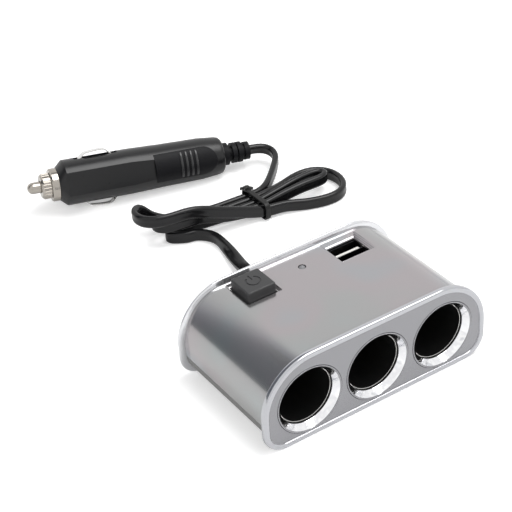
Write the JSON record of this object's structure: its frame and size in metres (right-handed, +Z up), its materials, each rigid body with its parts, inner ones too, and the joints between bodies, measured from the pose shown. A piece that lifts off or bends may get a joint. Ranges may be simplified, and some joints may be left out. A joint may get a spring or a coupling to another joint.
{
  "type": "car power socket splitter",
  "caption": "Low box with round power sockets in its front, a push button and a USB window on top, a tied hank of flat cable and a plug with sprung pin and side contacts.",
  "frame": {"origin": "centre of the box's footprint, on the plane its rims stand on", "axes": "+X to the right seen from the sockets, +Y to the back where the cable leaves, +Z up"},
  "size_m": [0.1276, 0.1974, 0.0377],
  "materials": {
    "silver_shell": "satin",
    "silver_rim": "gloss",
    "ring_grey": "satin",
    "tray_grey": "satin",
    "nickel": "bright",
    "pale_insulator": "matt",
    "brass": "satin",
    "button_grey": "matt",
    "white_plastic": "satin",
    "board_green": "satin",
    "capacitor_blue": "gloss",
    "board_dark": "matt",
    "lamp_clear": "gloss",
    "steel": "satin",
    "wire_red": "gloss",
    "wire_black": "gloss",
    "cable_black": "gloss",
    "tie_black": "satin",
    "soft_black": "satin",
    "black_plastic": "satin",
    "fuse_glass": "gloss"
  },
  "bodies": {
    "housing": {"upper_shell": "silver_shell", "lower_tray": "tray_grey", "front_bezel": "silver_rim", "rear_bezel": "silver_rim", "trim_ring_1": "ring_grey", "trim_ring_2": "ring_grey", "trim_ring_3": "ring_grey", "socket_barrel_1": "black_plastic", "socket_barrel_2": "black_plastic", "socket_barrel_3": "black_plastic", "socket_liner_1": "nickel", "socket_liner_2": "nickel", "socket_liner_3": "nickel", "insulator_disc_1": "pale_insulator", "insulator_disc_2": "pale_insulator", "insulator_disc_3": "pale_insulator", "centre_contact_1": "brass", "centre_contact_2": "brass", "centre_contact_3": "brass", "positive_bus": "brass", "negative_bus": "nickel", "switch_body": "black_plastic", "switch_spring": "steel", "switch_terminals": "nickel", "usb_shell": "nickel", "usb_tongue": "white_plastic", "usb_contacts": "brass", "charger_board": "board_green", "board_inductor": "board_dark", "board_capacitors": "capacitor_blue", "board_chip": "board_dark", "status_led": "lamp_clear", "board_screws": "steel", "base_screws": "steel", "cable_grommet": "soft_black", "wire_feed": "wire_red", "wire_switched": "wire_red", "wire_negative": "wire_black", "cord_box_lead": "cable_black", "cord_hank": "cable_black", "cord_plug_lead": "cable_black", "hank_tie": "tie_black", "plug_strain_relief": "soft_black", "plug_half_front": "black_plastic", "plug_half_rear": "black_plastic", "plug_grip_front": "soft_black", "plug_grip_rear": "soft_black", "plug_collar": "nickel", "plug_spring_cup": "brass", "plug_screw": "steel"},
    "button": {"power_button": "button_grey", "switch_plunger": "white_plastic"},
    "sprung_pin": {"plug_pin": "nickel", "plug_fuse": "fuse_glass", "plug_pin_spring": "steel"},
    "cap_nut": {"plug_cap_nut": "nickel"},
    "upper_contact": {"plug_contact_upper": "nickel"},
    "lower_contact": {"plug_contact_lower": "nickel"}
  },
  "joints": [
    {"name": "button_press", "type": "slide", "parent": "housing", "child": "button", "axis": [0, 0, -1], "range_m": [0, 0.002], "stiffness_N_per_m": 400, "springref_m": -0.0015, "deforming": ["switch_spring"]},
    {"name": "pin_press", "type": "slide", "parent": "housing", "child": "sprung_pin", "axis": [0.9692, -0.2381, -0.0628], "range_m": [0, 0.004], "stiffness_N_per_m": 500, "springref_m": -0.003},
    {"name": "cap_nut_turn", "type": "hinge", "parent": "housing", "child": "cap_nut", "pos_m": [-0.03514, 0.16134, 0.01351], "axis": [0.9692, -0.2381, -0.0628], "continuous": true},
    {"name": "upper_contact_press", "type": "hinge", "parent": "housing", "child": "upper_contact", "pos_m": [-0.01963, 0.15985, 0.01811], "axis": [0.1983, 0.906, -0.3739], "range_deg": [0, 7], "stiffness_Nm_per_rad": 0.6, "springref_deg": -1.72},
    {"name": "lower_contact_press", "type": "hinge", "parent": "housing", "child": "lower_contact", "pos_m": [-0.02138, 0.15565, 0.00701], "axis": [-0.1983, -0.906, 0.3739], "range_deg": [0, 7], "stiffness_Nm_per_rad": 0.6, "springref_deg": -1.72}
  ]
}
